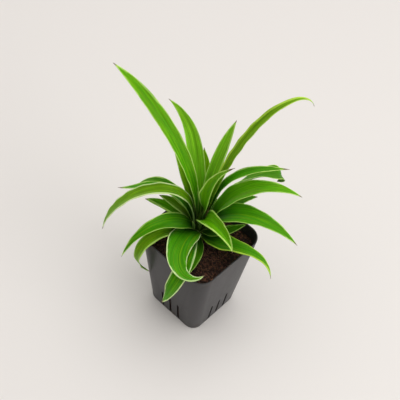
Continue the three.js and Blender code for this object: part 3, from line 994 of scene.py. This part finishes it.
@dataclass
class Rosette:
    """The crown and the leaves that grow from it."""

    crown_x: float = -10.0
    crown_y: float = 10.0
    crown_low: float = 79.0
    crown_shoulder: float = 86.0
    crown_top: float = 112.0
    crown_radius: float = 8.0
    crown_top_radius: float = 3.0
    core_share: float = 0.8
    core_tip: Span = (0.8, 1.2)
    core_lamina: Place = (6.0, 6.0, 2.0)
    gap: float = 0.3
    thickness: float = 0.7
    thin_edge: float = 0.4
    full_half: float = 1.5
    tip_width: float = 0.4
    rounding: float = 1.4
    row: float = 1.3
    columns: int = 16
    clasp: float = 9.0
    clasp_climb: float = 87.0
    clasp_fold: float = 58.0
    clasp_swell: float = 0.45
    ripple: float = 0.35
    ripple_lengths: Span = (15.0, 24.0)
    full_ripple_half: float = 5.0
    crease: float = 50.0
    seed: int = 7

    def start_of(self, blade: Blade) -> Line:
        """Where a blade's midrib leaves the crown, clear of it by the blade's folded sides.

        Args:
            blade: The leaf.

        Returns:
            The point.
        """
        half = blade.width * blade.foot / 2
        fold = math.radians(blade.fold[0])
        levels = (self.crown_shoulder, self.crown_top)
        radius = float(np.interp(blade.height, levels, (self.crown_radius, self.crown_top_radius)))
        rise = half * math.sin(fold) * math.sin(math.radians(blade.climb[0]))
        curve = radius - math.sqrt(max(0.0, radius**2 - (half * math.cos(fold)) ** 2))
        reach = radius + self.gap + self.thickness / 2 + max(0.0, rise - curve)
        side = math.radians(blade.side)
        x, y = self.crown_x + reach * math.cos(side), self.crown_y + reach * math.sin(side)
        return np.array([x, y, blade.height])

    def stations(self, blade: Blade, places: Line) -> tuple[Line, Line]:
        """How far places are along a blade and down its clasp of the crown, each from 0 to 1."""
        return np.clip(places / blade.length, 0, 1), np.clip(-places / self.clasp, 0, 1)

    def directions(self, blade: Blade, places: Line) -> tuple[Line, Line, Line]:
        """The directions along, across and up from a blade at places from its start.

        Args:
            blade: The leaf.
            places: Distances along it, below zero where it clasps the crown.

        Returns:
            Three arrays of unit vectors.
        """
        share, clasped = self.stations(blade, places)
        climb = spread(blade.climb, share) * (1 - clasped) + self.clasp_climb * clasped
        side = blade.heading[0] + (blade.side - blade.heading[0] + 180) % 360 - 180
        heading = spread(blade.heading, share) * (1 - clasped) + side * clasped
        twist = np.radians(spread(blade.twist, share) * (1 - clasped))[:, None]
        c, h = np.radians(climb), np.radians(heading)
        along = np.stack([np.cos(c) * np.cos(h), np.cos(c) * np.sin(h), np.sin(c)], 1)
        level = np.stack([-np.sin(h), np.cos(h), np.zeros_like(h)], 1)
        normal = np.cross(along, level)
        across = level * np.cos(twist) + normal * np.sin(twist)
        return along, across, np.cross(along, across)

    def widths(self, blade: Blade, places: Line) -> Line:
        """A blade's width at places from its start.

        Args:
            blade: The leaf.
            places: Distances along it.

        Returns:
            The width at each.
        """
        share, clasped = self.stations(blade, places)
        grown = blade.foot + (1 - blade.foot) * np.sin(np.pi / 2 * np.minimum(share / blade.widest, 1))
        outer = np.clip((share - blade.widest) / (1 - blade.widest), 0, 1)
        narrowed = 1 - outer**blade.taper
        fullness = np.where(share < blade.widest, grown, narrowed)
        swollen = 1 + self.clasp_swell * clasped
        return np.maximum(self.tip_width, blade.width * fullness * swollen)

    def route(self, blade: Blade) -> tuple[Line, Line]:
        """A blade's midrib.

        Args:
            blade: The leaf.

        Returns:
            Distances along it from its start, and the point at each.
        """
        rows = round(blade.length / self.row)
        buried = round(self.clasp / self.row)
        ahead = np.linspace(0, blade.length, rows + 1)
        behind = np.linspace(0, -self.clasp, buried + 1)
        lines = []
        for places in (ahead, behind):
            along, _, _ = self.directions(blade, (places[:-1] + places[1:]) / 2)
            steps = along * np.diff(places)[:, None]
            lines.append(np.vstack([np.zeros(3), np.cumsum(steps, 0)]) + self.start_of(blade))
        return np.concatenate([behind[:0:-1], ahead]), np.vstack([lines[1][:0:-1], lines[0]])

    def sheet(self, blade: Blade, draw: random.Random) -> Piece:
        """A blade as a closed thin sheet: a flat grid laid on its midrib, then thickened.

        The solidify modifier keeps the grid's points for the upper face and adds the lower one's.

        Args:
            blade: The leaf.
            draw: The source of the ripples along its margins.

        Returns:
            The blade, with the attributes lamina and under.
        """
        places, line = self.route(blade)
        rows = len(places) - 1
        bpy.ops.mesh.primitive_grid_add(x_subdivisions=rows, y_subdivisions=self.columns, size=2)
        leaf = added(f"blade_{blade.name}")
        flat = np.zeros(len(leaf.data.vertices) * 3)
        leaf.data.vertices.foreach_get("co", flat)
        row = np.rint((flat[::3] + 1) / 2 * rows).astype(int)
        side = flat[1::3]
        _, across, up = self.directions(blade, places)
        half = self.widths(blade, places)[row] / 2
        share, clasped = self.stations(blade, places[row])
        fold = np.radians(spread(blade.fold, share) * (1 - clasped) + self.clasp_fold * clasped)
        fade = np.sin(np.pi * share) ** 0.5
        wave = np.zeros(len(side))
        for sign in (-1, 1):
            length, phase = draw.uniform(*self.ripple_lengths), draw.uniform(0, 2 * math.pi)
            swing = np.sin(2 * np.pi * places[row] / length + phase)
            wave += np.where(side * sign > 0, swing, 0) * self.ripple * fade * np.abs(side) ** 3
        reach = side * half * np.cos(fold)
        wave *= np.minimum(half / self.full_ripple_half, 1)
        rise = half * np.sin(fold) * np.abs(side) ** self.rounding + wave
        points = line[row] + across[row] * reach[:, None] + up[row] * rise[:, None]
        leaf.data.vertices.foreach_set("co", (points * MM).ravel())
        mark(leaf, "lamina", "FLOAT_VECTOR", np.stack([(1 - side) * half, (1 + side) * half, places[row]], 1))
        edge = self.thin_edge + (1 - self.thin_edge) * (1 - np.abs(side) ** 2)
        weights = leaf.vertex_groups.new(name="thickness")
        for index, weight in enumerate(edge * np.minimum(1, 0.3 + half / self.full_half)):
            weights.add([index], float(weight), "REPLACE")
        leaf.data.update()
        apply_modifier(leaf, "SOLIDIFY", thickness=self.thickness * MM, offset=0, vertex_group="thickness")
        mark(leaf, "under", "FLOAT", np.repeat([0, 1], len(points)))
        return leaf

    def core(self) -> Piece:
        """The crown's own heart, which the leaves' feet clasp.

        Returns:
            The heart, with the attributes lamina and under.
        """
        tall = self.crown_top - self.crown_low
        middle = self.crown_low + tall / 2
        bpy.ops.mesh.primitive_cone_add(
            vertices=32, radius1=self.crown_radius * self.core_share * MM,
            radius2=self.crown_top_radius * self.core_share * MM, depth=tall * MM,
            location=(self.crown_x * MM, self.crown_y * MM, middle * MM))
        core = added("crown_core")
        pick(core, Element.FACE, lambda f: f.normal.z > 0.9)
        inset, rise = self.core_tip
        bpy.ops.mesh.inset(thickness=inset * MM)
        bpy.ops.transform.translate(value=(0, 0, rise * MM))
        leave_edit()
        apply_modifier(core, "SUBSURF", levels=1, render_levels=1)
        count = len(core.data.vertices)
        mark(core, "lamina", "FLOAT_VECTOR", np.tile(self.core_lamina, count))
        mark(core, "under", "FLOAT", np.zeros(count))
        return core

    def build(self) -> None:
        """Makes the crown and every leaf and seats them."""
        draw = random.Random(self.seed)
        heart = joined([self.core()] + [self.sheet(blade, draw) for blade in FURLED_BLADES], "crown_heart")
        tissue = LeafTissue("tissue_furled_a", FURLED_BLADES[0], draw.uniform(0, 90))
        seat(heart, tissue, self.crease, "crown")
        for blade in BLADES:
            leaf = self.sheet(blade, draw)
            tissue = LeafTissue(f"tissue_{blade.name}", blade, draw.uniform(0, 90))
            seat(leaf, tissue, self.crease, f"leaf_{blade.name}")


@dataclass(frozen=True)
class Panel:
    """A square soft light: its place, what it faces and its side in metres, its power in watts."""

    name: str
    place: Place
    size: float
    power: float
    aim: Place = (0.0, 0.0, 0.1)

    def hang(self) -> None:
        """Adds the light."""
        light = bpy.data.lights.new(self.name, "AREA")
        light.size = self.size
        light.energy = self.power
        lamp = bpy.data.objects.new(self.name, light)
        lamp.location = self.place
        lamp.rotation_euler = (Vector(self.aim) - Vector(self.place)).to_track_quat("-Z", "Y").to_euler()
        bpy.context.scene.collection.objects.link(lamp)


@dataclass
class Studio:
    """The pale floor, the soft light and the camera, which aren't part of the plant.

    Distances are metres, and the lens and its sensor are millimetres.
    """

    floor_size: float = 6.0
    azimuth: float = 37.8
    elevation: float = 52.9
    distance: float = 0.744
    roll: float = 7.5
    target: Place = (-0.00355, -0.00276, 0.1508)
    lens: float = 80.0
    sensor: float = 36.0
    sky: Colour = (1.0, 0.985, 0.96, 1)
    sky_strength: float = 0.8
    near_side: Span = (0.35, 0.95)
    near_side_share: float = 0.15
    panels: tuple[Panel, ...] = (
        Panel("overhead_panel", (0.1, 0.35, 1.6), 1.6, 9.0),
        Panel("right_panel", (1.6, 0.3, 0.55), 1.2, 10.0),
    )

    def floor(self) -> None:
        """A large plain floor."""
        bpy.ops.mesh.primitive_plane_add(size=self.floor_size)
        floor = added("floor")
        floor.data.materials.append(FloorPaint().material())

    def light(self) -> None:
        """An overcast sky, darker on the camera's side, with the panels."""
        world = bpy.data.worlds.new("overcast")
        world.use_nodes = True
        net = Wiring(world.node_tree)
        direction = net.node("ShaderNodeTexCoord").outputs["Generated"]
        azimuth = math.radians(self.azimuth)
        inputs = {0: direction, 1: (math.sin(azimuth), -math.cos(azimuth), 0)}
        nearness = net.node("ShaderNodeVectorMath", inputs, operation="DOT_PRODUCT").outputs["Value"]
        dimmed = self.sky_strength * self.near_side_share
        strength = net.between(nearness, *self.near_side, self.sky_strength, dimmed)
        sky = world.node_tree.nodes["Background"]
        net.feed(sky.inputs["Color"], self.sky)
        net.feed(sky.inputs["Strength"], strength)
        bpy.context.scene.world = world
        for panel in self.panels:
            panel.hang()

    def camera(self) -> None:
        """The camera at the photograph's angle."""
        data = bpy.data.cameras.new("camera")
        data.lens = self.lens
        data.sensor_width = self.sensor
        camera = bpy.data.objects.new("camera", data)
        aim = Matrix.Translation(self.target)
        for angle, axis in ((self.azimuth, "Z"), (90 - self.elevation, "X"), (self.roll, "Z")):
            aim @= Matrix.Rotation(math.radians(angle), 4, axis)
        camera.matrix_world = aim @ Matrix.Translation((0, 0, self.distance))
        bpy.context.scene.collection.objects.link(camera)
        bpy.context.scene.camera = camera

    def build(self) -> None:
        """Sets the stage."""
        self.camera()
        self.floor()
        self.light()
        bpy.context.scene.view_settings.view_transform = "Standard"


def main() -> None:
    """Builds the stage, the pot, the soil and the plant."""
    logging.basicConfig(level=logging.INFO, format="%(name)s: %(message)s")
    Studio().build()
    pot = NurseryPot()
    pot.build()
    SoilBed(pot).build()
    Rosette().build()
    deselect()


if __name__ == "__main__":
    main()
